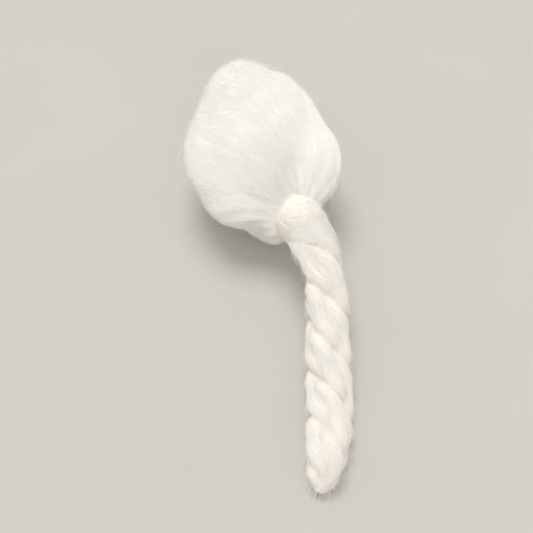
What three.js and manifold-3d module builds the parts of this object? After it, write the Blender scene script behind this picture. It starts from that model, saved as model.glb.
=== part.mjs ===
// A cotton wick: one tuft of loose cotton, rolled into a soft puff at one end, with the fibres of the
// other end drawn out and twisted into a two-ply tail. It is all one piece. Millimetres, +Z up.
// The wick lies on its side on a surface at Z = 0, and its tail runs out over that surface towards -Y.
import * as THREE from "three";
import { mergeVertices } from "three/addons/utils/BufferGeometryUtils.js";
import Module from "manifold-3d";

// Puff: a soft egg with its narrow crown towards +Y
const puffWidth = 18.6;
const puffLength = 22.5;
const puffHeight = 17.2;
const crownNarrowing = 0.15;
const puffPress = 0.9; // how deep the underside is pressed flat by the surface it lies on
const puffFacets = 15; // divisions along each edge of the ball that the puff is shaped from

// Lobes: soft balls of cotton that stand out of a core ball with a radius of 1. Each has its direction
// from the middle of the puff, its own radius, and how far out it reaches.
const lobeBlend = 14; // the higher, the sharper the valleys between lobes
const lobes = [
  { place: "crown", toward: new THREE.Vector3(-0.5, 0.8, 0.34), radius: 0.62, reach: 1.22 },
  { place: "top", toward: new THREE.Vector3(-0.1, -0.05, 1), radius: 0.75, reach: 1.06 },
  { place: "right shoulder", toward: new THREE.Vector3(0.9, -0.38, 0.22), radius: 0.57, reach: 1.27 },
  { place: "left flank", toward: new THREE.Vector3(-0.9, -0.2, 0.35), radius: 0.66, reach: 1.12 },
  { place: "front left", toward: new THREE.Vector3(-0.52, -0.86, -0.03), radius: 0.45, reach: 1.07 },
  { place: "under the tail", toward: new THREE.Vector3(0.3, -0.88, -0.33), radius: 0.45, reach: 1.19 },
  { place: "far right", toward: new THREE.Vector3(0.6, 0.8, 0.13), radius: 0.51, reach: 1.06 },
  { place: "far left", toward: new THREE.Vector3(-0.67, 0.71, -0.24), radius: 0.5, reach: 1.1 },
];

// Folds: creases that start at the root of the tail and curl over the puff. Each has its direction around the
// root, its curl for each radian away from the root, and its depth and width as shares of the puff's radius.
const folds = [
  { place: "over the shoulder", around: 85, curl: -34, depth: 0.07, width: 0.15 },
  { place: "left flank", around: 150, curl: -11, depth: 0.02, width: 0.18 },
  { place: "front", around: 222, curl: -12, depth: 0.08, width: 0.14 },
  { place: "underneath", around: 275, curl: -20, depth: 0.09, width: 0.16 },
  { place: "under the shoulder", around: 330, curl: -15, depth: 0.1, width: 0.15 },
];
const creaseRound = 0.05; // rounding of the bottom of a crease
const foldStart = 0.2; // radians away from the root
const foldFull = 0.7;
const foldFade = 2;
const foldEnd = 3;

// Tail: two plies twisted together, drawn out of the puff's front
const tailLength = 33; // from the puff's skin to the tip
const tailThickness = 5.2;
const plyPitch = 11; // length of one full turn of the plies
const plyFlatness = 0.86; // width of a ply across the pair, as a share of the tail's thickness
const plyOverlap = 0.08; // how far each ply is pressed past the middle, as a share of the thickness
const plyFacets = 24; // facets around the pair, in fours so that both creases stay sharp
const stepsPerTurn = 22;
const rootToward = new THREE.Vector3(0.48, -0.86, 0.12).normalize();
const rootDepth = 4.5; // how far the plies run on inside the puff
const rootSwell = 0.16; // the collar where the fibres gather, as a share of the thickness
const rootSwellReach = 3.5;
const tipRound = 4; // length over which the tip rounds off
const tipBlunt = 0.35; // thickness of the very end, as a share of the thickness

// Lie of the tail: it leaves the puff aslant, sinks to the surface and runs along it in a slow bend
const rootHeading = THREE.MathUtils.degToRad(38); // from -Y towards +X
const restHeading = THREE.MathUtils.degToRad(-5);
const headingRun = 17; // length over which the tail turns from one heading to the other
const swayAngle = THREE.MathUtils.degToRad(-7);
const swayLength = 27;
const sinkRun = 25; // length over which the tail comes down to the surface
const tailPress = 0.25; // how deep the plies are pressed flat where they touch the surface

const weldDistance = 1e-4;
const wasm = await Module();
wasm.setup();

function solidFrom(geometry) {
  const bare = geometry.clone();
  bare.deleteAttribute("normal");
  bare.deleteAttribute("uv");
  const welded = mergeVertices(bare, weldDistance);
  return new wasm.Manifold(
    new wasm.Mesh({
      numProp: 3,
      vertProperties: welded.attributes.position.array,
      triVerts: new Uint32Array(welded.index.array),
    }),
  );
}

function geometryFrom(solid) {
  const mesh = solid.getMesh();
  const geometry = new THREE.BufferGeometry();
  geometry.setAttribute("position", new THREE.BufferAttribute(mesh.vertProperties, mesh.numProp));
  geometry.setIndex(new THREE.BufferAttribute(mesh.triVerts, 1));
  geometry.computeVertexNormals();
  return geometry;
}

// Moves every point of a geometry to where place(point) puts it
function reshape(geometry, place) {
  const positions = geometry.attributes.position;
  const point = new THREE.Vector3();
  for (let i = 0; i < positions.count; i += 1) {
    place(point.fromBufferAttribute(positions, i));
    positions.setXYZ(i, point.x, point.y, point.z);
  }
  return geometry;
}

// Puff

const rootAcross = new THREE.Vector3(0, 0, 1).cross(rootToward).normalize();
const rootUpward = rootToward.clone().cross(rootAcross);

// How far a lobe reaches out along a direction, or 0 where that direction misses it
function lobeReach(lobe, direction) {
  const middle = lobe.toward.clone().setLength(lobe.reach - lobe.radius);
  const along = direction.dot(middle);
  const inside = lobe.radius ** 2 - middle.lengthSq() + along ** 2;
  return inside > 0 ? Math.max(along + Math.sqrt(inside), 0) : 0;
}

// The core ball and the lobes run into each other softly
function lobedRadius(direction) {
  const blended = lobes.reduce((sum, lobe) => sum + lobeReach(lobe, direction) ** lobeBlend, 1);
  return blended ** (1 / lobeBlend);
}

// Depth of one crease, at an angle away from the root and an angle around it
function creaseDepth(fold, away, around) {
  const turn = around - THREE.MathUtils.degToRad(fold.around + fold.curl * away);
  const aside = 2 * Math.sin(away) * Math.sin(turn / 2);
  return fold.depth * Math.exp((creaseRound - Math.hypot(aside, creaseRound)) / fold.width);
}

// Depth of all the folds: nothing at the root, and nothing at the far side
function foldDepth(direction) {
  const away = direction.angleTo(rootToward);
  const around = Math.atan2(direction.dot(rootUpward), direction.dot(rootAcross));
  const begun = THREE.MathUtils.smoothstep(away, foldStart, foldFull);
  const faded = THREE.MathUtils.smoothstep(away, foldFade, foldEnd);
  return begun * (1 - faded) * folds.reduce((sum, fold) => sum + creaseDepth(fold, away, around), 0);
}

// Takes a direction from the puff's middle to the skin of a puff with a radius of about 1
function toLooseSkin(point) {
  const direction = point.clone().normalize();
  const radius = lobedRadius(direction) - foldDepth(direction);
  const towardsCrown = 0.5 + 0.5 * direction.y;
  point.copy(direction).multiplyScalar(radius);
  point.x *= 1 - crownNarrowing * towardsCrown ** 2;
  return point;
}

const puffForm = reshape(new THREE.IcosahedronGeometry(1, puffFacets), toLooseSkin);
puffForm.computeBoundingBox();
const looseSize = puffForm.boundingBox.getSize(new THREE.Vector3());
const puffScale = new THREE.Vector3(puffWidth, puffLength, puffHeight).divide(looseSize);
const puffLift = -puffForm.boundingBox.min.z * puffScale.z - puffPress;
const toPuffSize = new THREE.Matrix4().makeTranslation(0, 0, puffLift).scale(puffScale);
puffForm.applyMatrix4(toPuffSize);

// Tail

// The line that the tail follows, from inside the puff to the tip. Points are an even step apart.
function tailLine(step, count) {
  const skin = toLooseSkin(rootToward.clone()).applyMatrix4(toPuffSize);
  const lyingHeight = tailThickness / 2 - tailPress;
  const leftToSink = (distance) => 1 - THREE.MathUtils.smoothstep(distance, -rootDepth, sinkRun);
  const sink = (skin.z - lyingHeight) / leftToSink(0);
  const heightAt = (distance) => lyingHeight + sink * leftToSink(distance);
  const headingAt = (distance) => {
    const turned = THREE.MathUtils.smoothstep(distance, 0, headingRun);
    const sway = swayAngle * Math.sin((2 * Math.PI * Math.max(distance, 0)) / swayLength);
    return THREE.MathUtils.lerp(rootHeading, restHeading, turned) + sway;
  };
  const stride = (from) => {
    const drop = heightAt(from + step) - heightAt(from);
    const along = Math.sqrt(step ** 2 - drop ** 2);
    const heading = headingAt(from + step / 2);
    return new THREE.Vector3(along * Math.sin(heading), -along * Math.cos(heading), drop);
  };
  const points = [new THREE.Vector3()];
  for (let i = 0; i < count; i += 1) points.push(points[i].clone().add(stride(i * step - rootDepth)));
  const line = new THREE.CatmullRomCurve3(points);
  const toSkin = skin.sub(line.getPointAt(rootDepth / (rootDepth + tailLength)));
  points.forEach((point) => point.add(toSkin));
  return new THREE.CatmullRomCurve3(points);
}

// Distance from the tail's middle to its skin, at an angle around it. The section is a pair of plies:
// two flattened rounds pressed together, with a crease on each side between them.
function plyReach(angle) {
  const halfDepth = tailThickness / 4 + (plyOverlap * tailThickness) / 2;
  const halfWidth = (plyFlatness * tailThickness) / 2;
  const offset = (tailThickness / 2 - halfDepth) / halfDepth;
  const depthwise = Math.abs(Math.cos(angle)) / halfDepth;
  const widthwise = Math.sin(angle) / halfWidth;
  const spread = depthwise ** 2 + widthwise ** 2;
  const lean = depthwise * offset;
  return (lean + Math.sqrt(lean ** 2 + spread * (1 - offset ** 2))) / spread;
}

// Thickness along the tail, as a share: a collar at the root and a rounded blunt tip
function girthAt(distance) {
  const collar = rootSwell * Math.exp(-((distance / rootSwellReach) ** 2));
  const fromTip = Math.min((tailLength - distance) / tipRound, 1);
  const rounding = Math.sqrt(1 - (1 - fromTip) ** 2);
  return (1 + collar) * THREE.MathUtils.lerp(tipBlunt, 1, rounding);
}

// The tail is drawn as a straight rod, pressed into two plies, twisted, and laid along its line
function tailForm() {
  const drawnLength = rootDepth + tailLength;
  const steps = Math.round((drawnLength / plyPitch) * stepsPerTurn);
  const line = tailLine(drawnLength / steps, steps);
  const rod = new THREE.CylinderGeometry(1, 1, drawnLength, plyFacets, steps)
    .rotateX(Math.PI / 2)
    .translate(0, 0, drawnLength / 2);
  const up = new THREE.Vector3(0, 0, 1);
  return reshape(rod, (point) => {
    const share = THREE.MathUtils.clamp(point.z / drawnLength, 0, 1);
    const distance = point.z - rootDepth;
    const girth = girthAt(distance);
    const angle = Math.atan2(point.y, point.x);
    const reach = Math.hypot(point.x, point.y) * plyReach(angle) * girth;
    const turned = angle - (2 * Math.PI * distance) / plyPitch;
    const ahead = line.getTangentAt(share);
    const across = up.clone().cross(ahead).normalize();
    const above = ahead.clone().cross(across);
    const middle = line.getPointAt(share);
    middle.z -= (tailThickness / 2) * Math.max(1 - girth, 0);
    point.copy(middle);
    point.addScaledVector(across, reach * Math.cos(turned));
    point.addScaledVector(above, reach * Math.sin(turned));
  });
}

// The surface that the soft cotton is pressed flat on, as a block under Z = 0
function pressingBlock() {
  const size = 3 * (puffLength + tailLength);
  return new THREE.BoxGeometry(size, size, puffHeight).translate(0, 0, -puffHeight / 2);
}

const cotton = new THREE.MeshStandardMaterial({ color: 0xf7f3ea, roughness: 0.95, metalness: 0 });
const wickSolid = solidFrom(puffForm).add(solidFrom(tailForm())).subtract(solidFrom(pressingBlock()));
const wick = new THREE.Mesh(geometryFrom(wickSolid), cotton);
wick.name = "cotton_wick";

const part = new THREE.Group();
part.add(wick);

export default part;
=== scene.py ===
# %% [markdown]
# A cotton wick
#
# A hand-rolled lamp wick is one tuft of cotton: a soft puff, and a tail that is drawn out of it and
# twisted from two plies. This lesson gives the imported model its looks: a lumpy skin, a tail of real
# strands, and thousands of loose fibres.
#
# The imported model is loaded first, because every piece below is made where it lies.

# %% Load the imported wick
import math
from collections import namedtuple

import bmesh
import bpy
import numpy as np
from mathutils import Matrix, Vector
from mathutils.bvhtree import BVHTree


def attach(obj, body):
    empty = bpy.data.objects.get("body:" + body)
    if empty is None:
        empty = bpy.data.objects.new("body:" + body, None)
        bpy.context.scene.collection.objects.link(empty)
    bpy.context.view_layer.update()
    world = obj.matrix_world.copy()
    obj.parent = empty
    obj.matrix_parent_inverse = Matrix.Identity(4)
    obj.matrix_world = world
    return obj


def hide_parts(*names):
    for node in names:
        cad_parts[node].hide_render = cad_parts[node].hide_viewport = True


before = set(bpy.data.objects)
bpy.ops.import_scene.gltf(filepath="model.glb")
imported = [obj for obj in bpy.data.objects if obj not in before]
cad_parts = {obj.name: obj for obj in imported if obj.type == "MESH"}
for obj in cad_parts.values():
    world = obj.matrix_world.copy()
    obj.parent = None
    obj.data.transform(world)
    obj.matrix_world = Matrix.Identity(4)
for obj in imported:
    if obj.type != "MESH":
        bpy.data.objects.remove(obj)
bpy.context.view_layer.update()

MM = 0.001

# %% [markdown]
# The camera
#
# The wick lies on a table, so the camera looks down on it from the side of the tail. It could be placed
# by eye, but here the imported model's points are laid out along the picture's own directions. That gives
# the middle of the picture and how far back a long lens has to stand.

# %% Aim the camera
CAMERA_ELEVATION = math.radians(60)
LENS_MM = 100
SENSOR_MM = 36
WICK_FILLS = 0.8  # share of the picture's height
NEAREST_SEEN = 10 * MM


def link(name, data):
    piece = bpy.data.objects.new(name, data)
    bpy.context.scene.collection.objects.link(piece)
    return piece


picture_right = np.array([1.0, 0.0, 0.0])
picture_up = np.array([0.0, math.sin(CAMERA_ELEVATION), math.cos(CAMERA_ELEVATION)])
towards_camera = np.array([0.0, -math.cos(CAMERA_ELEVATION), math.sin(CAMERA_ELEVATION)])
picture_axes = np.stack([picture_right, picture_up, towards_camera])

packed_points = np.array([v.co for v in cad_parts["cotton_wick"].data.vertices])
in_picture = packed_points @ picture_axes.T
middle_in_picture = (in_picture.min(0) + in_picture.max(0)) / 2
picture_height = np.ptp(in_picture[:, :2], axis=0).max() / WICK_FILLS
aim = Vector(middle_in_picture @ picture_axes)
camera_distance = picture_height * LENS_MM / SENSOR_MM

camera_data = bpy.data.cameras.new("camera")
camera_data.lens = LENS_MM
camera_data.sensor_width = SENSOR_MM
camera_data.clip_start = NEAREST_SEEN
camera = link("camera", camera_data)
camera.location = aim + Vector(towards_camera) * camera_distance
camera.rotation_euler = Vector(-towards_camera).to_track_quat("-Z", "Y").to_euler()
bpy.context.scene.camera = camera
print("picture shows", round(picture_height / MM, 1), "mm from", round(camera_distance / MM), "mm away")

# %% [markdown]
# The lobes of the puff
#
# Rolled cotton bulges in soft lobes with valleys between them. They could be sculpted, but the packed
# model makes them as balls that run into each other, and the same rule is used here: for any direction
# from the puff's middle it says how far away the skin is. A rule can be asked again later by every fibre
# that has to lie on the skin.

# %% Blend the lobes
Lobe = namedtuple("Lobe", "toward radius reach")  # sizes are shares of the puff's own radius
LOBE_BLEND = 14  # a higher number makes sharper valleys
LOBES = [
    Lobe(toward=(-0.5, 0.8, 0.34), radius=0.62, reach=1.22),
    Lobe(toward=(-0.1, -0.05, 1), radius=0.75, reach=1.06),
    Lobe(toward=(0.9, -0.38, 0.22), radius=0.57, reach=1.27),
    Lobe(toward=(-0.9, -0.2, 0.35), radius=0.66, reach=1.12),
    Lobe(toward=(-0.52, -0.86, -0.03), radius=0.45, reach=1.07),
    Lobe(toward=(0.3, -0.88, -0.33), radius=0.45, reach=1.19),
    Lobe(toward=(0.6, 0.8, 0.13), radius=0.51, reach=1.06),
    Lobe(toward=(-0.67, 0.71, -0.24), radius=0.5, reach=1.1),
]


def unit(vectors):
    vectors = np.asarray(vectors, float)
    return vectors / np.linalg.norm(vectors, axis=-1, keepdims=True)


def lobed_radius(ways):
    """How far the skin is from the middle in each direction, for a ball with lobes on it."""
    blended = np.ones(len(ways))
    for lobe in LOBES:
        middle = unit(lobe.toward) * (lobe.reach - lobe.radius)
        ahead = ways @ middle
        inside = lobe.radius**2 - middle @ middle + ahead**2
        reach = np.where(inside > 0, ahead + np.sqrt(np.maximum(inside, 0)), 0)
        blended += np.maximum(reach, 0) ** LOBE_BLEND
    return blended ** (1 / LOBE_BLEND)


print("puff has", len(LOBES), "lobes")

# %% [markdown]
# The folds of the puff
#
# Where the cotton is drawn together into the tail, its skin folds. Creases in a mesh would each need
# edges of their own, so a fold is a groove in the rule: it runs away from the tail's root with a slight
# curl, is deepest on its own line, and fades out to both sides and at both ends.

# %% Press the folds
Fold = namedtuple("Fold", "around curl depth width")  # around and curl are in degrees
FOLDS = [
    Fold(around=85, curl=-34, depth=0.07, width=0.15),
    Fold(around=150, curl=-11, depth=0.02, width=0.18),
    Fold(around=222, curl=-12, depth=0.08, width=0.14),
    Fold(around=275, curl=-20, depth=0.09, width=0.16),
    Fold(around=330, curl=-15, depth=0.1, width=0.15),
]
CREASE_ROUND = 0.05
FOLD_START, FOLD_FULL = 0.2, 0.7  # angles away from the root, in radians
FOLD_FADE, FOLD_END = 2.0, 3.0
ROOT_TOWARD = unit((0.48, -0.86, 0.12))
ROOT_ACROSS = unit(np.cross((0, 0, 1), ROOT_TOWARD))
ROOT_UPWARD = np.cross(ROOT_TOWARD, ROOT_ACROSS)


def from_root(ways):
    """Angles of directions away from the tail's root, and around it."""
    away = np.arccos(np.clip(ways @ ROOT_TOWARD, -1, 1))
    around = np.arctan2(ways @ ROOT_UPWARD, ways @ ROOT_ACROSS)
    return away, around


def smooth_step(values, low, high):
    """A share that rises softly from 0 at low to 1 at high."""
    share = np.clip((values - low) / (high - low), 0, 1)
    return share * share * (3 - 2 * share)


def fold_depth(ways):
    away, around = from_root(ways)
    depth = np.zeros(len(ways))
    for fold in FOLDS:
        turn = around - np.radians(fold.around + fold.curl * away)
        aside = 2 * np.sin(away) * np.sin(turn / 2)
        depth += fold.depth * np.exp((CREASE_ROUND - np.hypot(aside, CREASE_ROUND)) / fold.width)
    return depth * smooth_step(away, FOLD_START, FOLD_FULL) * (1 - smooth_step(away, FOLD_FADE, FOLD_END))


print("puff has", len(FOLDS), "folds")

# %% [markdown]
# The size of the puff
#
# The rule has no size yet. The puff could be scaled by eye, but then its size would only be about right.
# So directions spread evenly over a ball measure what the rule gives, and the puff is scaled to its real
# width, length and height. It is set a little into the table, because soft cotton lies on a flat spot.

# %% Scale the puff
PUFF_SIZE = np.array([18.6, 22.5, 17.2]) * MM
PUFF_PRESS = 0.9 * MM
CROWN_NARROWING = 0.15
MEASURED_WAYS = 20000


def loose_skin(ways):
    points = ways * (lobed_radius(ways) - fold_depth(ways))[:, None]
    points[:, 0] *= 1 - CROWN_NARROWING * (0.5 + 0.5 * ways[:, 1]) ** 2
    return points


def even_ways(count):
    """Directions spread evenly over a ball, along a spiral from its top to its bottom."""
    turn = np.arange(count) * math.pi * (3 - math.sqrt(5))
    height = 1 - (2 * np.arange(count) + 1) / count
    flat = np.sqrt(1 - height**2)
    return np.stack([flat * np.cos(turn), flat * np.sin(turn), height], axis=1)


loose = loose_skin(even_ways(MEASURED_WAYS))
PUFF_SCALE = PUFF_SIZE / np.ptp(loose, axis=0)
PUFF_MIDDLE = np.array([0, 0, -loose[:, 2].min() * PUFF_SCALE[2] - PUFF_PRESS])


def plain_skin(ways):
    """Points of the puff's skin with its lobes and folds, but without its finer forms."""
    return loose_skin(ways) * PUFF_SCALE + PUFF_MIDDLE


print("puff middle is", round(PUFF_MIDDLE[2] / MM, 2), "mm above the table")

# %% [markdown]
# The line of the tail
#
# The tail leaves the puff's front aslant, sinks to the table and lies on it in a slow bend. Its line could
# be a drawn curve, but here it is walked in small even strides. Each stride takes its fall from one smooth
# curve and its heading from another, so the line is exactly as long as the tail.

# %% Walk the tail's line
TAIL_LENGTH = 33 * MM
TAIL_THICKNESS = 5.2 * MM
TAIL_PRESS = 0.25 * MM
ROOT_DEPTH = 4.5 * MM  # how far the line runs on inside the puff
ROOT_HEADING = math.radians(38)
REST_HEADING = math.radians(-5)
HEADING_RUN = 17 * MM
SWAY_ANGLE = math.radians(-7)
SWAY_LENGTH = 27 * MM
SINK_RUN = 25 * MM
STRIDE = 0.25 * MM
root_skin = plain_skin(ROOT_TOWARD[None])[0]
lying_height = TAIL_THICKNESS / 2 - TAIL_PRESS


def left_to_sink(distance):
    return 1 - smooth_step(distance, -ROOT_DEPTH, SINK_RUN)


def heading_at(distance):
    turned = smooth_step(distance, 0, HEADING_RUN)
    sway = SWAY_ANGLE * np.sin(2 * math.pi * np.maximum(distance, 0) / SWAY_LENGTH)
    return ROOT_HEADING + (REST_HEADING - ROOT_HEADING) * turned + sway


line_marks = np.arange(-ROOT_DEPTH, TAIL_LENGTH + STRIDE / 2, STRIDE)
line_height = lying_height + (root_skin[2] - lying_height) * left_to_sink(line_marks) / left_to_sink(0.0)
falls = np.diff(line_height)
level_strides = np.sqrt(STRIDE**2 - falls**2)
headings = heading_at(line_marks[:-1] + STRIDE / 2)
strides = np.stack([level_strides * np.sin(headings), -level_strides * np.cos(headings), falls], axis=1)
tail_line = np.concatenate([np.zeros((1, 3)), np.cumsum(strides, axis=0)])
tail_line += root_skin - tail_line[np.argmin(np.abs(line_marks))]
print("tail line has", len(tail_line), "points and ends at", (tail_line[-1] / MM).round(1).tolist(), "mm")

# %% [markdown]
# The girth of the tail
#
# A twisted tail is not a plain rod. It swells to a collar at its root, and its tip is rounded because
# loose ends slip back into the twist. Both are shares of the full thickness, so one function serves
# strands and fibres. Another gives the directions ahead, across and above at any distance from the root.

# %% Measure along the tail
ROOT_SWELL = 0.16
ROOT_SWELL_REACH = 3.5 * MM
TIP_ROUND = 4 * MM
TIP_BLUNT = 0.4


def girth_at(distance, at_tip=TIP_BLUNT):
    """Share of the full thickness along the tail: a collar at the root, and at_tip at the very end."""
    collar = ROOT_SWELL * np.exp(-((distance / ROOT_SWELL_REACH) ** 2))
    from_tip = np.clip((TAIL_LENGTH - distance) / TIP_ROUND, 0, 1)
    rounding = np.sqrt(1 - (1 - from_tip) ** 2)
    return (1 + collar) * (at_tip + (1 - at_tip) * rounding)


def between_marks(distance, rows):
    return np.stack([np.interp(distance, line_marks, column) for column in rows.T], axis=-1)


def on_line(distance):
    """Point, direction ahead, direction across and direction above of the tail's line."""
    point = between_marks(distance, tail_line)
    ahead = unit(between_marks(distance, np.gradient(tail_line, axis=0)))
    across = unit(np.cross((0.0, 0.0, 1.0), ahead))
    point[..., 2] -= TAIL_THICKNESS / 2 * np.maximum(1 - girth_at(distance), 0)
    return point, ahead, across, np.cross(ahead, across)


def around_line(angle, across, above):
    """Direction out of the tail's line at an angle around it."""
    return across * np.cos(angle)[..., None] + above * np.sin(angle)[..., None]


print("tail is", round(TAIL_THICKNESS * girth_at(0.0) / MM, 2), "mm thick at its root")

# %% [markdown]
# The strands of the tail
#
# Each of the two plies is a bundle of three strands. The plies twist around each other one way, and the
# strands twist the other way inside their ply, which is what keeps a twisted cord from opening. A screw
# modifier could wind them, but only around a straight axis. So a strand is a point on a small turning
# ring that rides on a larger one, carried along the tail's line. At the root the strands lie closer
# together, inside a bun of cotton.

# %% Lay the strands along the line
PLIES = 2
STRANDS_IN_PLY = 3
PLY_PITCH = 11 * MM
STRAND_PITCH = 9.5 * MM
STRAND_RADIUS = 0.9 * MM
PLY_OFFSET = 1.1 * MM
STRAND_DEPTHWISE = 0.48 * MM
STRAND_WIDTHWISE = 1.28 * MM
TIP_CLOSED = 0.1
ROOT_CLOSED = 0.66
ROOT_CLOSED_FROM, ROOT_CLOSED_TO = 0.8 * MM, 3.6 * MM
UNEVENNESS = 0.045
UNEVEN_LENGTH = 7 * MM
SLOWER_WAVE = 3.7
WAVE_SHIFT = 2.4


def strand_middle(distance, ply, strand):
    """Middle of a strand, the direction straight out of the tail there, and the direction ahead."""
    point, ahead, across, above = on_line(distance)
    turn = math.pi * ply - 2 * math.pi * distance / PLY_PITCH
    inner = 2 * math.pi * (strand / STRANDS_IN_PLY + distance / STRAND_PITCH)
    outward = around_line(turn, across, above)
    sideways = around_line(turn, above, -across)
    opened = smooth_step(distance, ROOT_CLOSED_FROM, ROOT_CLOSED_TO)
    girth = girth_at(distance, TIP_CLOSED) * (ROOT_CLOSED + (1 - ROOT_CLOSED) * opened)
    depth = (PLY_OFFSET + STRAND_DEPTHWISE * np.cos(inner)) * girth
    width = STRAND_WIDTHWISE * np.sin(inner) * girth
    offset = outward * depth[..., None] + sideways * width[..., None]
    return point + offset, unit(offset), ahead


def strand_radius(distance, number):
    """Strands are drawn out by hand, so each one is a little thicker and thinner on its way."""
    wave = np.sin(2 * math.pi * distance / UNEVEN_LENGTH + WAVE_SHIFT * number)
    wave = wave + np.sin(SLOWER_WAVE * distance / UNEVEN_LENGTH + number)
    return STRAND_RADIUS * girth_at(distance) * (1 + UNEVENNESS * wave)


strand_names = [(ply, strand) for ply in range(PLIES) for strand in range(STRANDS_IN_PLY)]
print("tail has", len(strand_names), "strands")

# %% [markdown]
# Tubes from paths
#
# Strands and fibres are both tubes along a path. A tube could be spun or skinned, but a curve with a ring
# as its section does it in one go, with a thickness at every point and closed ends. It is then made a
# mesh, because only meshes can be remeshed, marked and exported.

# %% Draw tubes
def mesh_of(piece, name):
    """The mesh that a piece shows, with its modifiers, as a new mesh."""
    bpy.context.view_layer.update()
    shown = piece.evaluated_get(bpy.context.evaluated_depsgraph_get())
    mesh = bpy.data.meshes.new_from_object(shown)
    mesh.name = name
    return mesh


def ring_section(name, sides):
    section = bpy.data.curves.new(name + "_section", "CURVE")
    ring = section.splines.new("POLY")
    ring.points.add(sides - 1)
    corners = 2 * math.pi * np.arange(sides) / sides
    corner_rows = np.stack([np.cos(corners), np.sin(corners), 0 * corners, 0 * corners + 1], axis=1)
    ring.points.foreach_set("co", corner_rows.ravel())
    ring.use_cyclic_u = True
    return link(name + "_section", section)


def draw_tubes(name, paths, radii, sides):
    """A mesh with one closed tube for each path, as thick as its radii say."""
    curve = bpy.data.curves.new(name, "CURVE")
    curve.dimensions = "3D"
    curve.use_fill_caps = True
    curve.bevel_mode = "OBJECT"
    curve.bevel_object = ring_section(name, sides)
    rows = np.concatenate([paths, np.ones(paths.shape[:2] + (1,))], axis=2)
    for row, radius in zip(rows, radii):
        spline = curve.splines.new("POLY")
        spline.points.add(len(row) - 1)
        spline.points.foreach_set("co", row.ravel())
        spline.points.foreach_set("radius", radius)
    tubes = link(name + "_curve", curve)
    mesh = mesh_of(tubes, name)
    bpy.data.objects.remove(curve.bevel_object)
    bpy.data.objects.remove(tubes)
    return mesh


print("tubes are ready to draw")

# %% [markdown]
# The tail's skin
#
# A strand could stay a bare tube, but tubes that only poke through each other look hard. So the strands,
# a core in each ply and a bun at the root are melted into one skin by a voxel remesh. Two rounds of
# smoothing then soften the creases as cotton would. Points under the table are pressed up to it.

# %% Melt the strands into one tail
STRAND_SIDES = 16
STRAND_STRIDE = 0.3 * MM
STRAND_INSIDE = 3 * MM  # how far the strands run on inside the puff
CORE_RADIUS = 0.82 * MM
BUN_RADIUS = 2.85 * MM
BUN_MIDDLE = 0.9 * MM
BUN_REACH = 3.1 * MM
TAIL_VOXEL = 0.13 * MM
SMOOTHING_ROUNDS = 2
SMOOTHING = 0.5
PRESS_SOFTNESS = 0.08 * MM


def points_of(mesh):
    points = np.empty(len(mesh.vertices) * 3)
    mesh.vertices.foreach_get("co", points)
    return points.reshape(-1, 3)


def set_points(mesh, points):
    mesh.vertices.foreach_set("co", np.ascontiguousarray(points).ravel())
    mesh.update()


def press_on_table(points):
    """Points below the table come up to it, with a soft turn at the edge of the flat spot."""
    height = points[..., 2]
    points[..., 2] = (height + np.sqrt(height**2 + PRESS_SOFTNESS**2)) / 2
    return points


strand_marks = np.arange(-STRAND_INSIDE, TAIL_LENGTH, STRAND_STRIDE)
strand_paths = [strand_middle(strand_marks, *name)[0] for name in strand_names]
strand_radii = [strand_radius(strand_marks, number) for number in range(len(strand_names))]
for ply in range(PLIES):
    strand_paths.append(np.mean(strand_paths[ply * STRANDS_IN_PLY : (ply + 1) * STRANDS_IN_PLY], axis=0))
    strand_radii.append(CORE_RADIUS * girth_at(strand_marks))
from_bun = (strand_marks - BUN_MIDDLE) / BUN_REACH
strand_paths.append(on_line(strand_marks)[0])
strand_radii.append(np.maximum(BUN_RADIUS * np.sqrt(np.maximum(1 - from_bun**2, 0)), STRAND_RADIUS))
strand_mesh = draw_tubes("twisted_tail", np.stack(strand_paths), np.stack(strand_radii), STRAND_SIDES)

tail = link("twisted_tail", strand_mesh)
melt = tail.modifiers.new("melt", "REMESH")
melt.mode = "VOXEL"
melt.voxel_size = TAIL_VOXEL
tail_mesh = mesh_of(tail, "twisted_tail")
tail.modifiers.clear()
tail.data = tail_mesh

tail_bm = bmesh.new()
tail_bm.from_mesh(tail_mesh)
all_axes = {"use_axis_x": True, "use_axis_y": True, "use_axis_z": True}
for _ in range(SMOOTHING_ROUNDS):
    bmesh.ops.smooth_vert(tail_bm, verts=tail_bm.verts, factor=SMOOTHING, **all_axes)
tail_bm.to_mesh(tail_mesh)
tail_bm.free()
set_points(tail_mesh, press_on_table(points_of(tail_mesh)))
print("tail skin has", len(tail_mesh.polygons), "faces")

# %% [markdown]
# The way the cotton is combed
#
# Fibres run from the puff's crown to the tail, so they all meet at the root. On a plain ball they would
# meet again on the far side, as lines on a globe do, and that whorl would show. So the ball is laid out
# as a flat map around the root and bent there until the second meeting point lies under the puff.

# %% Comb the ball
COMB_CURL = 0.35
COMB_END = (-0.25, 0.45, -0.86)  # where fibres end, under the puff
MAP_EDGE = 3.1  # the flat map stops just short of the point opposite the root, at this angle
FLOW_WANDER = 0.25
FLOW_WAVE = 1.5
RIDGE_ALONG = 0.14  # how slowly a ridge changes along its length
RIPPLE_WAVES = 28
RIPPLE_PACES = (0.7, 1.4)


def ripples(places, wavelength, seed):
    """Smooth noise from about -1 to 1: waves of about one length, in random directions."""
    random = np.random.default_rng(seed)
    ways = unit(random.normal(size=(RIPPLE_WAVES, 3)))
    pace = 2 * math.pi / wavelength * random.uniform(*RIPPLE_PACES, size=(RIPPLE_WAVES, 1))
    start = random.uniform(0, 2 * math.pi, RIPPLE_WAVES)
    return np.sin(places @ (ways * pace).T + start).sum(axis=1) / math.sqrt(2 * RIPPLE_WAVES)


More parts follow.
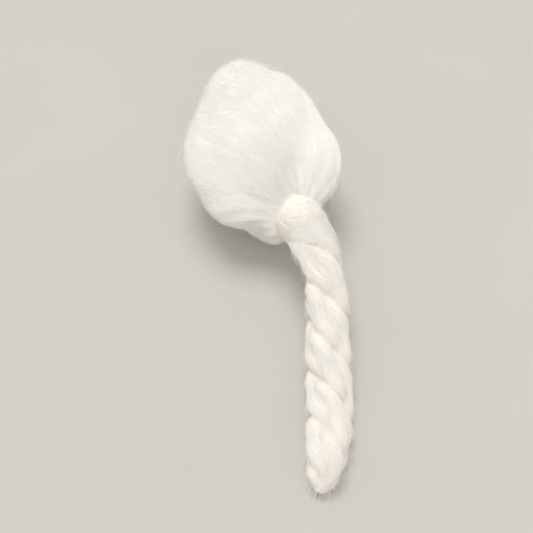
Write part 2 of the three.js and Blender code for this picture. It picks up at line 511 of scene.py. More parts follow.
def flat_map(ways):
    """Map of the ball as complex numbers: the root is at 0 and the opposite point is far away."""
    away, around = from_root(ways)
    return np.tan(np.minimum(away, MAP_EDGE) / 2) * np.exp(1j * around)


comb_end_map = flat_map(unit(COMB_END)[None])[0]


def combed_angles(ways):
    """Angle around the root and angle away from it, on a ball bent so that fibres end at COMB_END."""
    place = flat_map(ways)
    bent = place / (1 - place / comb_end_map)
    return np.angle(bent), 2 * np.arctan(np.abs(bent))


def ways_near_root(away, around):
    """Directions at an angle away from the root and an angle around it."""
    side = ROOT_ACROSS * np.cos(around)[:, None] + ROOT_UPWARD * np.sin(around)[:, None]
    return ROOT_TOWARD * np.cos(away)[:, None] + side * np.sin(away)[:, None]


def ways_at(around, away):
    """Directions from combed angles."""
    bent = np.tan(away / 2) * np.exp(1j * around)
    place = bent / (1 + bent / comb_end_map)
    return ways_near_root(2 * np.arctan(np.abs(place)), np.angle(place))


def combed_turn(ways):
    """Angle that stays the same along a fibre, and the angle away from the root."""
    around, away = combed_angles(ways)
    return around - COMB_CURL * away + FLOW_WANDER * ripples(ways, FLOW_WAVE, seed=3), away


def combed_places(ways):
    """Places in a space where all fibres run along the third axis."""
    turn, away = combed_turn(ways)
    return np.stack([np.cos(turn), np.sin(turn), away * RIDGE_ALONG], axis=1)


comb_end_point = plain_skin(unit(COMB_END)[None])[0]
print("combed fibres end at", (comb_end_point / MM).round(1).tolist(), "mm")

# %% [markdown]
# Gathers and layers
#
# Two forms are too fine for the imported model. Around the root the cotton is gathered into small pleats.
# On the far side, sheets of cotton end on top of each other, in a soft lip with a tuck beside it.
# Separate sheets would show gaps at their edges, so both forms are moves of the one skin.

# %% Gather and layer the cotton
GATHER_COUNT = 17
GATHER_MIDDLE = 0.5  # radians away from the root
GATHER_SPREAD = 0.42
Layer = namedtuple("Layer", "toward edge height")
LAYERS = [
    Layer(toward=(-0.15, 0.95, -0.15), edge=0.8, height=0.75 * MM),
    Layer(toward=(0.8, 0.5, -0.25), edge=0.72, height=0.65 * MM),
    Layer(toward=(-0.9, 0.15, -0.3), edge=0.75, height=0.65 * MM),
    Layer(toward=(-0.5, -0.75, -0.4), edge=0.8, height=0.4 * MM),
]
LIP_EDGE = 0.1
LIP_RUN = 0.35
TUCK_WIDTH = 0.09
EDGE_WANDER = 0.12
EDGE_WAVE = 1.1
EDGE_SEED = 50
FADE_WAVE = 1.2
FADE_SEED = 60
FADE_FROM, FADE_TO = -0.8, 0.2  # an edge comes and goes along its length
FAR_SIDE = -towards_camera  # the near side is rolled smooth
FAR_FROM, FAR_TO = 0.05, 0.35


def gathers(ways):
    """Pleats from 0 on their tops to -1 in the grooves between them."""
    turn, away = combed_turn(ways)
    ridge = np.abs(np.sin(GATHER_COUNT * turn / 2)) - 1
    return ridge * np.exp(-(((away - GATHER_MIDDLE) / GATHER_SPREAD) ** 2))


def layers(ways):
    """How far the edges of the layers raise or lower the skin."""
    rise = np.zeros(len(ways))
    for number, layer in enumerate(LAYERS):
        wander = EDGE_WANDER * ripples(ways, EDGE_WAVE, seed=EDGE_SEED + number)
        inside = ways @ unit(layer.toward) - layer.edge + wander
        lip = smooth_step(inside, 0, LIP_EDGE) * np.exp(-np.maximum(inside, 0) / LIP_RUN)
        tuck = np.exp(-np.abs(inside) / TUCK_WIDTH)
        shown = smooth_step(ripples(ways, FADE_WAVE, seed=FADE_SEED + number), FADE_FROM, FADE_TO)
        rise += layer.height * shown * (lip - tuck)
    return rise * smooth_step(ways @ FAR_SIDE, FAR_FROM, FAR_TO)


print("puff has", GATHER_COUNT, "gathers and", len(LAYERS), "layers")

# %% [markdown]
# The puff's skin
#
# The puff could start as a UV sphere, but that has poles that pinch. The faces of an icosphere are even
# all over. Every point of it is a direction, and the rule says where the skin lies that way. Soft lumps,
# the gathers, the layers and fine ridges that run with the fibres are added on top.

# %% Shape the puff
PUFF_SUBDIVISIONS = 7
RIDGE_HEIGHT = 0.02 * MM
RIDGE_WIDTH = 0.11  # widths are in shares of the puff's radius
FINE_RIDGE_WIDTH = 0.05
FINE_RIDGE_SHARE = 0.6
LUMP_HEIGHT = 0.12 * MM
LUMP_WIDTH = 0.42
BULGE_HEIGHT = 0.25 * MM
BULGE_WIDTH = 0.95
GATHER_HEIGHT = 0.3 * MM


def skin(ways):
    """Points of the finished skin of the puff, before it is pressed on the table."""
    combed = combed_places(ways)
    ridges = ripples(combed, RIDGE_WIDTH, seed=1)
    ridges = ridges + FINE_RIDGE_SHARE * ripples(combed, FINE_RIDGE_WIDTH, seed=2)
    lumps = LUMP_HEIGHT * ripples(ways, LUMP_WIDTH, seed=4)
    lumps = lumps + BULGE_HEIGHT * ripples(ways, BULGE_WIDTH, seed=7)
    plain = plain_skin(ways)
    out = unit(plain - PUFF_MIDDLE)
    rise = RIDGE_HEIGHT * ridges + lumps + GATHER_HEIGHT * gathers(ways) + layers(ways)
    return plain + out * rise[:, None]


puff_bm = bmesh.new()
bmesh.ops.create_icosphere(puff_bm, subdivisions=PUFF_SUBDIVISIONS, radius=1.0)
puff_mesh = bpy.data.meshes.new("cotton_puff")
puff_bm.to_mesh(puff_mesh)
puff_bm.free()
puff_ways = unit(points_of(puff_mesh))
set_points(puff_mesh, press_on_table(skin(puff_ways)))
puff = link("cotton_puff", puff_mesh)
print("puff skin has", len(puff_mesh.polygons), "faces")

# %% [markdown]
# Ridges on the tail
#
# The fibres of the tail run along its strands, so its ridges do too. A texture along the whole tail would
# miss the twist. So every point of the tail's skin finds its strand, and its place across that strand and
# along it. The ridges are waves, short across the strand and long along it.

# %% Ridge the tail
TAIL_RIDGE_HEIGHT = 0.045 * MM
TAIL_RIDGE_WIDTH = 0.5  # in mm, as the combed places of the tail are
FINE_TAIL_RIDGE_WIDTH = 0.25
STRANDS_APART = 10  # keeps the patterns of two strands from being the same
BATCHES = 60  # points are measured in batches, to save memory

tail_points = points_of(tail_mesh)
nearest_in_batches = [
    np.linalg.norm(batch[:, None] - tail_line[None], axis=2).argmin(axis=1)
    for batch in np.array_split(tail_points, BATCHES)
]
tail_marks = line_marks[np.concatenate(nearest_in_batches)]
tail_out = tail_points - on_line(tail_marks)[0]
tail_combed = np.empty_like(tail_points)
tail_strand_out = np.empty_like(tail_points)
closest = np.full(len(tail_points), np.inf)
for number, name in enumerate(strand_names):
    middle, out, ahead = strand_middle(tail_marks, *name)
    offset = tail_points - middle
    distance = np.linalg.norm(offset, axis=1)
    mine = distance < closest
    closest[mine] = distance[mine]
    beside = np.cross(ahead, out)
    places = [(offset * out).sum(1), (offset * beside).sum(1), tail_marks * RIDGE_ALONG]
    tail_combed[mine] = (np.stack(places, axis=1) / MM + number * STRANDS_APART)[mine]
    tail_strand_out[mine] = unit(offset)[mine]
tail_ridges = ripples(tail_combed, TAIL_RIDGE_WIDTH, seed=5)
tail_ridges = tail_ridges + FINE_RIDGE_SHARE * ripples(tail_combed, FINE_TAIL_RIDGE_WIDTH, seed=6)
ridged_points = tail_points + tail_strand_out * (TAIL_RIDGE_HEIGHT * tail_ridges)[:, None]
tail_points = press_on_table(ridged_points)
set_points(tail_mesh, tail_points)
print("tail ridges are up to", round(np.abs(tail_ridges).max() * TAIL_RIDGE_HEIGHT / MM, 2), "mm high")

# %% [markdown]
# Marks for the finish
#
# The finish needs two facts that a texture can't guess: which way the fibres run, and where the skin lies
# deep in a fold or between gathers, where shade is painted in as a darker cream. A painted image could hold
# them, but only in so many dots, so both are written on the mesh as attributes.

# %% Write the marks
DEEP_FOLD = 0.1
GATHER_SHARE = 0.35
PAINTED_SHADE_FROM, PAINTED_SHADE_TO = 0.5, 1.6
OUTSIDE_OF_TAIL = 0.65  # painted shade: the creases between strands get it fully, and the tail's outside keeps a little too
CREASE_REACH, OUTER_REACH = 1.2 * MM, 2.5 * MM
TAIL_STREAK_SCALE = 2.0


def mark(mesh, name, kind, values):
    marks = mesh.attributes.new(name, kind, "POINT")
    field = "vector" if kind == "FLOAT_VECTOR" else "value"
    marks.data.foreach_set(field, np.ascontiguousarray(values).ravel())


puff_across = PUFF_SIZE.mean() / 2 / MM
# painted shade: folds and the grooves between gathers are marked to be painted darker and creamier
puff_painted_shade = fold_depth(puff_ways) / DEEP_FOLD - GATHER_SHARE * gathers(puff_ways)
mark(puff_mesh, "combed", "FLOAT_VECTOR", combed_places(puff_ways) * puff_across)
mark(puff_mesh, "painted_shade", "FLOAT", smooth_step(puff_painted_shade, PAINTED_SHADE_FROM, PAINTED_SHADE_TO))

tail_reach = np.linalg.norm(tail_out, axis=1) / girth_at(tail_marks)
# painted shade: darker cream in the creases between strands, and a little over the whole tail
tail_painted_shade = 1 - OUTSIDE_OF_TAIL * smooth_step(tail_reach, CREASE_REACH, OUTER_REACH)
mark(tail_mesh, "combed", "FLOAT_VECTOR", tail_combed * TAIL_STREAK_SCALE)
mark(tail_mesh, "painted_shade", "FLOAT", tail_painted_shade)
print("marked", len(puff_ways) + len(tail_points), "points")

# %% [markdown]
# Paths of the fibres on the puff
#
# Seen close, cotton is a mat of fine fibres in small locks. Fibres laid at random would give an even
# grain. So a fibre walks over the puff the way the cotton was combed, with a slow swirl, and rises a
# little out of the mat on its way. Fibres of one lock start side by side and lean the same way, which
# gives the mat streaks.

# %% Comb fibres over the puff
FIBRES_IN_LOCK = 8
LOCK_WIDTH = 0.022
LOCK_STAGGER = 0.1
OWN_SHARE = 0.4  # how much a fibre goes its own way in its lock
COMB_STEP = 0.02
SWIRL = 0.13
SWIRL_WAVE = 0.9
SWIRL_SEEDS = (11, 12, 13)
CLEAR_OF_TABLE = 0.6 * MM
FIBRE_LENGTHS = (0.5, 1.3)
LEAST_LIFT = 0.05
LIFT_PEAKS = (0.2, 0.8)
LIFT_WIDTH = 0.35
SKIN_GAP = 0.01 * MM
PUFF_TINTS = (0.35, 1.0)  # from creamy to white


def combed_way(ways):
    """Direction in which the fibres lie at each place, towards the root."""
    around, away = combed_angles(ways)
    step = COMB_STEP * np.sin(away)
    ahead = ways_at(around - COMB_CURL * step, away - step) - ways
    swirl = np.stack([ripples(ways, SWIRL_WAVE, seed) for seed in SWIRL_SEEDS], axis=1)
    flow = unit(ahead) + SWIRL * swirl
    return unit(flow - ways * (flow * ways).sum(1)[:, None])


def scatter_ways(random, count):
    """Random directions from the puff's middle, without those that meet the table."""
    ways = unit(random.normal(size=(count * 2, 3)))
    return ways[plain_skin(ways)[:, 2] > CLEAR_OF_TABLE][:count]


def lock_lean(random, lock, stray):
    """How far each fibre leans aside: its lock's lean, and some of its own."""
    of_lock = random.normal(size=(lock.max() + 1, 1))[lock]
    return stray * (of_lock + OWN_SHARE * random.normal(size=(len(lock), 1)))


def comb_fibres(locks, points, length, rise, stray, seed):
    """Paths of fibres that lie on the puff in locks and rise by up to rise, and the tint of each."""
    random = np.random.default_rng(seed)
    lock = np.repeat(np.arange(locks), FIBRES_IN_LOCK)
    count = len(lock)
    ways = scatter_ways(random, locks)[lock]
    aside = np.cross(ways, combed_way(ways))
    ways = ways + aside * LOCK_WIDTH * random.normal(size=(count, 1))
    ways = unit(ways + combed_way(ways) * LOCK_STAGGER * random.normal(size=(count, 1)))
    lengths = length * random.uniform(*FIBRE_LENGTHS, size=(count, 1))
    lean = lock_lean(random, lock, stray)
    bend = lock_lean(random, lock, stray)
    top = rise * random.uniform(LEAST_LIFT, 1, size=(count, 1)) ** 2
    peak = random.uniform(*LIFT_PEAKS, size=(count, 1))
    path = []
    for share in np.linspace(0, 1, points):
        on_skin = skin(ways)
        lift = top * np.exp(-(((share - peak) / LIFT_WIDTH) ** 2))
        path.append(on_skin + unit(on_skin - PUFF_MIDDLE) * (lift + SKIN_GAP))
        flow = combed_way(ways)
        aside = np.cross(ways, flow)
        ahead = unit(flow + aside * (lean + bend * (share - 0.5) * 2))
        from_middle = np.linalg.norm(on_skin - PUFF_MIDDLE, axis=1, keepdims=True)
        ways = unit(ways + ahead * lengths / (points - 1) / from_middle)
    return press_on_table(np.stack(path, axis=1)), random.uniform(*PUFF_TINTS, size=locks)[lock]


FINE_TAPER = [0.3, 1, 1, 1, 1, 0.3]
MAT_LOCKS = 730
mat_points = len(FINE_TAPER)
under_mat = comb_fibres(MAT_LOCKS, mat_points, length=6 * MM, rise=0.1 * MM, stray=0.15, seed=21)
over_mat = comb_fibres(MAT_LOCKS, mat_points, length=5 * MM, rise=0.25 * MM, stray=0.2, seed=22)
print("mats have", len(under_mat[0]) + len(over_mat[0]), "paths")

# %% [markdown]
# Fibres as pieces
#
# Hair particles could draw the fibres, but they are lost in the export, so each fibre is a three-sided
# tube that thins out at its end. A tint is marked on every fibre, because no two are quite as white.

# %% Make the mats
FIBRE_RADIUS = 0.013 * MM
FIBRE_SIDES = 3
WELD = 1e-7


def close_ends(mesh):
    """Joins the caps at the ends of the tubes to the tubes."""
    tubes = bmesh.new()
    tubes.from_mesh(mesh)
    bmesh.ops.remove_doubles(tubes, verts=tubes.verts, dist=WELD)
    tubes.to_mesh(mesh)
    tubes.free()


def fibre_piece(name, paths, taper, tints):
    """A piece with a fibre along each path. Its mesh has the caps first, backwards, and then the tubes."""
    radii = np.repeat(FIBRE_RADIUS * np.asarray(taper)[None], len(paths), axis=0)
    mesh = draw_tubes(name, paths, radii, FIBRE_SIDES)
    on_caps = np.repeat(tints[::-1], 2 * FIBRE_SIDES)
    on_tubes = np.repeat(tints, len(taper) * FIBRE_SIDES)
    mark(mesh, "tint", "FLOAT", np.concatenate([on_caps, on_tubes]))
    close_ends(mesh)
    triangles = sum(len(p.vertices) - 2 for p in mesh.polygons)
    print(name, "has", len(paths), "fibres and", triangles, "triangles")
    return link(name, mesh)


puff_fibres = [
    fibre_piece("puff_mat_under", under_mat[0], FINE_TAPER, under_mat[1]),
    fibre_piece("puff_mat_over", over_mat[0], FINE_TAPER, over_mat[1]),
]

# %% [markdown]
# Fuzz on the puff
#
# Some fibres stand off the mat, which is why the edge of cotton is never sharp. Straight spikes would be
# simpler, but they look like fur. So each fibre leaves the skin aslant, arches, and ends in the air. Most
# are short, and a few are long strays.

# %% Raise the fuzz
LEAST_HEIGHT = 0.15
FEW_TALL = 1.6  # a higher power makes tall fibres rarer
LEAST_REACH = 0.3
HEADING_SPREAD = 0.4
CURL_SPREAD = 0.3
ARCH_TURN = 2.2  # a fibre arches over its top and a little down again
FUZZ_TAPER = [1, 1, 0.9, 0.7, 0.2]
STRAY_TAPER = [1] * 8 + [0.7, 0.2]


def raise_fuzz(starts, outs, alongs, points, height, reach, seed):
    """Paths of arched fibres, each with a drift and a curl of its own."""
    random = np.random.default_rng(seed)
    count = len(starts)
    height = height * random.uniform(LEAST_HEIGHT, 1, size=(count, 1)) ** FEW_TALL
    reach = reach * random.uniform(LEAST_REACH, 1, size=(count, 1))
    sideways = np.cross(outs, alongs)
    heading = random.normal(scale=HEADING_SPREAD, size=(count, 1))
    drift = alongs * np.cos(heading) + sideways * np.sin(heading)
    curl = sideways * np.cos(heading) - alongs * np.sin(heading)
    curling = random.normal(scale=CURL_SPREAD, size=(count, 1))
    path = []
    for share in np.linspace(0, 1, points):
        arch = height * math.sin(ARCH_TURN * share)
        path.append(starts + outs * arch + drift * reach * share + curl * reach * curling * share**2)
    return press_on_table(np.stack(path, axis=1))


def own_tints(count, tint_range):
    return np.random.default_rng(count).uniform(*tint_range, size=count)


def fuzz_on_puff(name, taper, count, height, reach, seed):
    ways = scatter_ways(np.random.default_rng(seed), count)
    starts = skin(ways)
    outs = unit(starts - PUFF_MIDDLE)
    paths = raise_fuzz(starts, outs, combed_way(ways), len(taper), height, reach, seed)
    return fibre_piece(name, paths, taper, own_tints(len(paths), PUFF_TINTS))


puff_fibres += [
    fuzz_on_puff("puff_fuzz", FUZZ_TAPER, count=7600, height=0.42 * MM, reach=1.6 * MM, seed=31),
    fuzz_on_puff("puff_strays", STRAY_TAPER, count=420, height=1.1 * MM, reach=3.5 * MM, seed=32),
]

# %% [markdown]
# Fibres over the root
#
# The tail isn't stuck into the puff: it is made of the same fibres. A smooth join of the two skins would
# still look glued. So some fibres run over the puff to the foot of the bun, climb it, and wind on along
# the tail. Their paths blend from one skin to the other, and their far ends are laid on the nearest
# points of the tail.

# %% Wind fibres over the root
ROOT_FOOT = 0.3  # how wide around the root the bun meets the puff, in radians
ROOT_STARTS = (0.4, 0.95)
ROOT_ENDS = (3 * MM, 7 * MM)
ROOT_LIFT = 0.15 * MM
AT_FOOT = 0.5  # shares of a fibre's length
LEAVE_PUFF, REACH_TAIL = 0.3, 0.65
HUG_FROM = 0.7
TAIL_GAP = 0.012 * MM
ROOT_TAPER = [0.3] + [1] * 7 + [0.3]
TAIL_TINTS = (0.05, 0.5)  # painted shade: the tail's fibres are kept a little darker and creamier than the puff's
tail_corners = [v.co for v in tail_mesh.vertices]
tail_faces = [p.vertices for p in tail_mesh.polygons]
tail_tree = BVHTree.FromPolygons(tail_corners, tail_faces)


def hug_tail(paths, lifts):
    """Lays the points of paths on the tail's skin, each with its own lift off it."""
    laid = np.empty_like(paths)
    for index in np.ndindex(paths.shape[:2]):
        place, out, _, _ = tail_tree.find_nearest(Vector(paths[index]))
        laid[index] = np.array(place) + (TAIL_GAP + lifts[index]) * np.array(out)
    return laid


def root_paths(count, points, seed):
    random = np.random.default_rng(seed)
    away = random.uniform(*ROOT_STARTS, size=count)
    around = random.uniform(0, 2 * math.pi, size=count)
    ends = random.uniform(*ROOT_ENDS, size=count)
    lifts = ROOT_LIFT * random.uniform(0, 1, size=count) ** 2
    shares = np.linspace(0, 1, points)
    paths = np.empty((count, points, 3))
    for step, share in enumerate(shares):
        left = ROOT_FOOT + (away - ROOT_FOOT) * (1 - smooth_step(share, 0, AT_FOOT))
        on_puff = skin(ways_near_root(left, around))
        on_puff += unit(on_puff - PUFF_MIDDLE) * lifts[:, None]
        distance = ends * share
        middle, _, across, above = on_line(distance)
        reach = TAIL_THICKNESS / 2 * girth_at(distance)
        on_tail = middle + around_line(around - math.pi * share, across, above) * reach[:, None]
        gone = smooth_step(share, LEAVE_PUFF, REACH_TAIL)
        paths[:, step] = on_puff * (1 - gone) + on_tail * gone
    late = shares > HUG_FROM
    paths[:, late] = hug_tail(paths, lifts[:, None] * np.ones(points))[:, late]
    return press_on_table(paths)


def tail_fibre_piece(name, paths, taper):
    return fibre_piece(name, paths, taper, own_tints(len(paths), TAIL_TINTS))


wound_paths = root_paths(count=1300, points=len(ROOT_TAPER), seed=43)
tail_fibres = [tail_fibre_piece("root_fibres", wound_paths, ROOT_TAPER)]

# %% [markdown]
# Fibres along the strands
#
# In the tail the fibres lie along their strand and turn slowly around it. Fibres along the whole tail
# would hide its twist. So each one picks a strand, a place on its outer side and a stretch of its length,
# and is then laid on the melted skin.

# %% Comb fibres along the strands
STRAND_FIBRES_FROM = -1.5 * MM
STRAND_FIBRE_LENGTH = 7 * MM
STRAND_FIBRE_LIFT = 0.15 * MM
LAST_START = 2 * MM  # distances from the tip
LAST_END = 0.2 * MM
OUTER_SIDE = 1.9  # in radians, to each side of straight out
SLOW_TURN = 0.25


def strand_fibre_paths(count, points, seed):
    random = np.random.default_rng(seed)
    begin = random.uniform(STRAND_FIBRES_FROM, TAIL_LENGTH - LAST_START, size=count)
    lengths = STRAND_FIBRE_LENGTH * random.uniform(*FIBRE_LENGTHS, size=count)
    lengths = np.minimum(lengths, TAIL_LENGTH - LAST_END - begin)
    side = random.uniform(-OUTER_SIDE, OUTER_SIDE, size=count)
    turn = random.normal(scale=SLOW_TURN, size=count)
    lift = STRAND_FIBRE_LIFT * random.uniform(0, 1, size=count) ** 2
    picked = random.integers(len(strand_names), size=count)
    shares = np.linspace(0, 1, points)
    paths = np.empty((count, points, 3))
    for number, name in enumerate(strand_names):
        mine = picked == number
        for step, share in enumerate(shares):
            distance = begin[mine] + lengths[mine] * share
            middle, out, ahead = strand_middle(distance, *name)
            away = around_line(side[mine] + turn[mine] * share, out, np.cross(ahead, out))
            paths[mine, step] = middle + away * STRAND_RADIUS * girth_at(distance)[:, None]
    return press_on_table(hug_tail(paths, lift[:, None] * np.sin(math.pi * shares)))


combed_paths = strand_fibre_paths(count=5200, points=len(FINE_TAPER), seed=41)
tail_fibres.append(tail_fibre_piece("tail_strand_fibres", combed_paths, FINE_TAPER))

# %% [markdown]
# The frayed tip
#
# The tail is pulled off, not cut, so its fibres run out at the tip like a soft brush. The skin alone
# would end like a cut rope. So loose fibres start a little inside the tip and go on ahead, each with a
# bend of its own.

# %% Fray the tip
FRAY_STARTS = (0.2 * MM, 3 * MM)  # distances from the tip
FRAY_INSIDE = (0.2, 0.95)
FRAY_SHORTEST = 0.5 * MM
FRAY_LONGER = 2.8 * MM
FRAY_LEAST = 0.2
FRAY_CLOSING = -0.05
FRAY_SPREAD = 0.15
FRAY_BEND = 0.5
FRAY_TAPER = [1, 1, 1, 0.9, 0.7, 0.2]


def fray_paths(count, points, seed):
    random = np.random.default_rng(seed)
    begin = TAIL_LENGTH - random.uniform(*FRAY_STARTS, size=count)
    middle, ahead, across, above = on_line(begin)
    around = random.uniform(0, 2 * math.pi, size=count)
    beside = around_line(around, across, above)
    turned = around_line(around, above, -across)
    inside = random.uniform(*FRAY_INSIDE, size=(count, 1)) * 2 * STRAND_RADIUS * girth_at(begin)[:, None]
    lengths = FRAY_LONGER * random.uniform(FRAY_LEAST, 1, size=(count, 1)) ** 2 + FRAY_SHORTEST
    spread = random.normal(loc=FRAY_CLOSING, scale=FRAY_SPREAD, size=(count, 1))
    bend = random.normal(scale=FRAY_BEND, size=(count, 1))
    path = []
    for share in np.linspace(0, 1, points):
        gone = lengths * share
        off_line = beside * (inside + gone * spread)
        path.append(middle + off_line + ahead * gone + turned * gone * bend * share)
    return press_on_table(np.stack(path, axis=1))


frayed_paths = fray_paths(count=110, points=len(FRAY_TAPER), seed=44)
tail_fibres.append(tail_fibre_piece("tip_fray", frayed_paths, FRAY_TAPER))

# %% [markdown]
# Fuzz on the tail
#
# The twist holds most fibres down, but some ends work loose all along the tail. They could be scattered
# anew, but the skin's own points serve as starts, and the function for the puff's fuzz raises them.

# %% Raise the tail's fuzz
def fuzz_on_tail(name, taper, count, height, reach, seed):
    chosen = np.random.default_rng(seed).integers(len(tail_points), size=count)
    chosen = chosen[tail_marks[chosen] > 0]
    alongs = unit(on_line(tail_marks[chosen])[1])
    outs = unit(tail_out[chosen])
    paths = raise_fuzz(tail_points[chosen], outs, alongs, len(taper), height, reach, seed)
    return tail_fibre_piece(name, paths, taper)


tail_fibres += [
    fuzz_on_tail("tail_fuzz", FUZZ_TAPER, count=5000, height=0.4 * MM, reach=1.6 * MM, seed=42),
    fuzz_on_tail("tail_strays", STRAY_TAPER, count=170, height=0.9 * MM, reach=3 * MM, seed=45),
]

# %% [markdown]
# The skin's finish
#
# Cotton is matt and slightly warm. Plain white paint would look like plaster. Light goes into cotton and
# comes out again nearby, so its skin gets some subsurface scattering, and the fine ends of fibres give it
# a soft sheen. One noise in streaks along the combed directions varies colour, roughness and height, and
# shade is painted into folds, grooves and the tail as a darker cream.

# %% Mix the cotton skin
STREAK_SHADE = (0.905, 0.89, 0.855, 1)
STREAK_LIGHT = (0.965, 0.955, 0.935, 1)
# painted shade: the darker cream that folds, grooves and the tail are mixed towards
PAINTED_CREASE_SHADE = (0.88, 0.825, 0.735, 1)
STREAK_FROM, STREAK_TO = 0.3, 0.62  # where the noise turns from shade to light


def node(tree, kind, **inputs):
    made = tree.nodes.new(kind)
    for name, value in inputs.items():
        made.inputs[name].default_value = value
    return made


def marked(tree, name):
    """Node that reads a mark of the mesh."""
    made = tree.nodes.new("ShaderNodeAttribute")
    made.attribute_name = name
    return made


def new_finish(name, **constants):
    finish = bpy.data.materials.new(name)
    finish.use_nodes = True
    shader = finish.node_tree.nodes["Principled BSDF"]
    for socket, value in constants.items():
        shader.inputs[socket.replace("_", " ")].default_value = value
    return finish, finish.node_tree, shader


def colour_steps(tree, source, *steps):
    """Colours that run from one step to the next as the source rises."""
    ramp = tree.nodes.new("ShaderNodeValToRGB")
    elements = ramp.color_ramp.elements
    while len(elements) < len(steps):
        elements.new(0.5)
    for element, (position, colour) in zip(elements, steps):
        element.position = position
        element.color = colour
    tree.links.new(source, ramp.inputs["Fac"])
    return ramp.outputs["Color"]


def spread_over(tree, source, low, high, at_low, at_high):
    """A value between at_low and at_high, from a source that runs from low to high."""
    limits = {"From Min": low, "From Max": high, "To Min": at_low, "To Max": at_high}
    made = node(tree, "ShaderNodeMapRange", **limits)
    tree.links.new(source, made.inputs["Value"])
    return made.outputs["Result"]


def cotton_skin_finish():
    finish, tree, cotton = new_finish(
        "cotton_skin",
        Specular_IOR_Level=0.2,
        Subsurface_Weight=0.35,
        Subsurface_Radius=(1.0, 0.85, 0.7),
        Subsurface_Scale=1.0 * MM,
        Sheen_Weight=0.3,
        Sheen_Roughness=0.6,
    )
    streaks = node(tree, "ShaderNodeTexNoise", Scale=2.2, Detail=6.0, Roughness=0.65)
    tree.links.new(marked(tree, "combed").outputs["Vector"], streaks.inputs["Vector"])
    streak = streaks.outputs["Fac"]
    # painted shade: the streak colour is mixed towards a darker cream where the skin is marked
    shade_mix = tree.nodes.new("ShaderNodeMix")
    shade_mix.data_type = "RGBA"
    tree.links.new(marked(tree, "painted_shade").outputs["Fac"], shade_mix.inputs["Factor"])
    streak_colour = colour_steps(tree, streak, (STREAK_FROM, STREAK_SHADE), (STREAK_TO, STREAK_LIGHT))
    tree.links.new(streak_colour, shade_mix.inputs["A"])
    shade_mix.inputs["B"].default_value = PAINTED_CREASE_SHADE
    tree.links.new(shade_mix.outputs["Result"], cotton.inputs["Base Color"])
    lift = node(tree, "ShaderNodeBump", Strength=0.6, Distance=0.06 * MM)
    tree.links.new(streak, lift.inputs["Height"])
    tree.links.new(lift.outputs["Normal"], cotton.inputs["Normal"])
    roughness = spread_over(tree, streak, low=0.3, high=0.65, at_low=1.0, at_high=0.88)
    tree.links.new(roughness, cotton.inputs["Roughness"])
    return finish


def put_on(piece, finish):
    piece.data.materials.append(finish)
    piece.data.polygons.foreach_set("use_smooth", [True] * len(piece.data.polygons))


cotton_skin = cotton_skin_finish()
for piece in (puff, tail):
    put_on(piece, cotton_skin)
print("skins have the finish", cotton_skin.name)

# %% [markdown]
# The fibres' finish
#
# One colour for all fibres would make the mat look moulded. So each fibre takes its colour from its own
# tint, with a fine noise on top, and its roughness follows the same value. The fibres are thicker than
# real ones, and with shadows of their own they would turn the white mat grey, so only the skins throw
# shadows.

# %% Mix the cotton fibres
FIBRE_DULL = (0.81, 0.785, 0.735, 1)
FIBRE_CREAM = (0.92, 0.905, 0.87, 1)
FIBRE_PALE = (0.975, 0.967, 0.95, 1)
FIBRE_WHITE = (0.99, 0.985, 0.975, 1)
TINT_CHANGE = 0.12


def cotton_fibre_finish():
    finish, tree, cotton = new_finish("cotton_fibre", Specular_IOR_Level=0.2, Sheen_Weight=0.2)
    place = tree.nodes.new("ShaderNodeTexCoord")
    along = node(tree, "ShaderNodeTexNoise", Scale=700.0, Detail=2.0)
    tree.links.new(place.outputs["Object"], along.inputs["Vector"])
    noise = along.outputs["Fac"]
    change = spread_over(tree, noise, low=0.25, high=0.75, at_low=-TINT_CHANGE, at_high=TINT_CHANGE)
    varied = tree.nodes.new("ShaderNodeMath")
    varied.operation = "ADD"
    tree.links.new(marked(tree, "tint").outputs["Fac"], varied.inputs[0])
    tree.links.new(change, varied.inputs[1])
    tint = varied.outputs["Value"]
    steps = [(0.0, FIBRE_DULL), (0.35, FIBRE_CREAM), (0.7, FIBRE_PALE), (1.0, FIBRE_WHITE)]
    tree.links.new(colour_steps(tree, tint, *steps), cotton.inputs["Base Color"])
    roughness = spread_over(tree, tint, low=0.0, high=1.0, at_low=0.9, at_high=0.72)
    tree.links.new(roughness, cotton.inputs["Roughness"])
    return finish


cotton_fibre = cotton_fibre_finish()
all_fibres = puff_fibres + tail_fibres
for piece in all_fibres:
    put_on(piece, cotton_fibre)
    piece.visible_shadow = False
    piece.visible_diffuse = False
print(len(all_fibres), "pieces have the finish", cotton_fibre.name)

# %% [markdown]
# The table
#
# White cotton shows best on a pale table that is a little darker than the cotton, so that its edge reads.
# A grid of one face is enough. Its paint has a faint grain, and is slightly warm, so that it throws warm
# light back.

# %% Set the table
TABLE_HALF_WIDTH = 3.0
TABLE_SHADE = (0.558, 0.547, 0.527, 1)
TABLE_LIGHT = (0.578, 0.567, 0.547, 1)


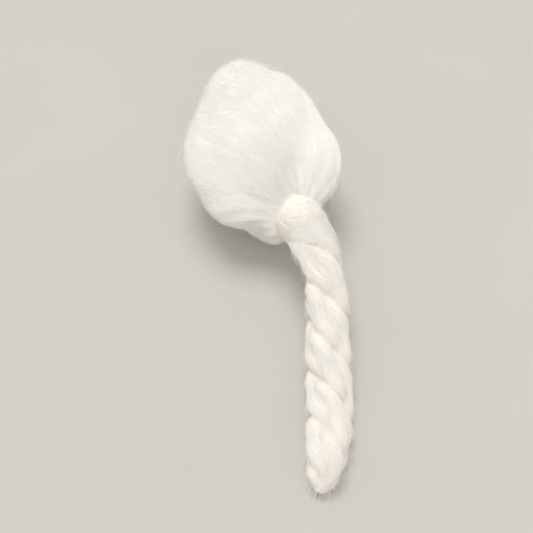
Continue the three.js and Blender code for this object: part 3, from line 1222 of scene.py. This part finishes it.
def table_finish():
    finish, tree, paint = new_finish("pale_table", Roughness=0.9)
    place = tree.nodes.new("ShaderNodeTexCoord")
    grain = node(tree, "ShaderNodeTexNoise", Scale=40.0, Detail=4.0)
    tree.links.new(place.outputs["Object"], grain.inputs["Vector"])
    colour = colour_steps(tree, grain.outputs["Fac"], (0.3, TABLE_SHADE), (0.7, TABLE_LIGHT))
    tree.links.new(colour, paint.inputs["Base Color"])
    return finish


table_bm = bmesh.new()
bmesh.ops.create_grid(table_bm, x_segments=1, y_segments=1, size=TABLE_HALF_WIDTH)
table_mesh = bpy.data.meshes.new("table")
table_bm.to_mesh(table_mesh)
table_bm.free()
table_mesh.materials.append(table_finish())
table = link("table", table_mesh)
print("table is", 2 * TABLE_HALF_WIDTH, "m wide")

# %% [markdown]
# The light
#
# Small lamps would cut hard shadows into soft cotton. So the lamps are broad, and so far away that the
# table is lit evenly: a main one high behind the puff, and a weak one in front. A pale sky, a little warm,
# fills the rest.

# %% Hang the lamps
SKY_COLOUR = (1.0, 0.945, 0.87, 1)
SKY_STRENGTH = 0.66


def soft_lamp(name, place, breadth, strength):
    """A lamp like a hazy sun. Breadth is the angle that it fills in the sky, in degrees."""
    lamp_data = bpy.data.lights.new(name, "SUN")
    lamp_data.angle = math.radians(breadth)
    lamp_data.energy = strength
    lamp = link(name, lamp_data)
    lamp.location = place
    lamp.rotation_euler = (aim - Vector(place)).to_track_quat("-Z", "Y").to_euler()


soft_lamp("key_lamp", (-0.2, 0.62, 2.0), breadth=30, strength=1.56)
soft_lamp("fill_lamp", (0.3, -1.6, 1.0), breadth=45, strength=0.15)

world = bpy.data.worlds.new("studio")
world.use_nodes = True
sky = world.node_tree.nodes["Background"]
sky.inputs["Color"].default_value = SKY_COLOUR
sky.inputs["Strength"].default_value = SKY_STRENGTH
bpy.context.scene.world = world
bpy.context.scene.view_settings.view_transform = "Standard"

# %% [markdown]
# Fastening the pieces to the imported wick
#
# Every piece rides on the one body of the wick. The puff and the tail stand for the imported solid.

for piece in [puff, tail] + all_fibres:
    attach(piece, "root")
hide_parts("cotton_wick")
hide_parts("cotton_wick")
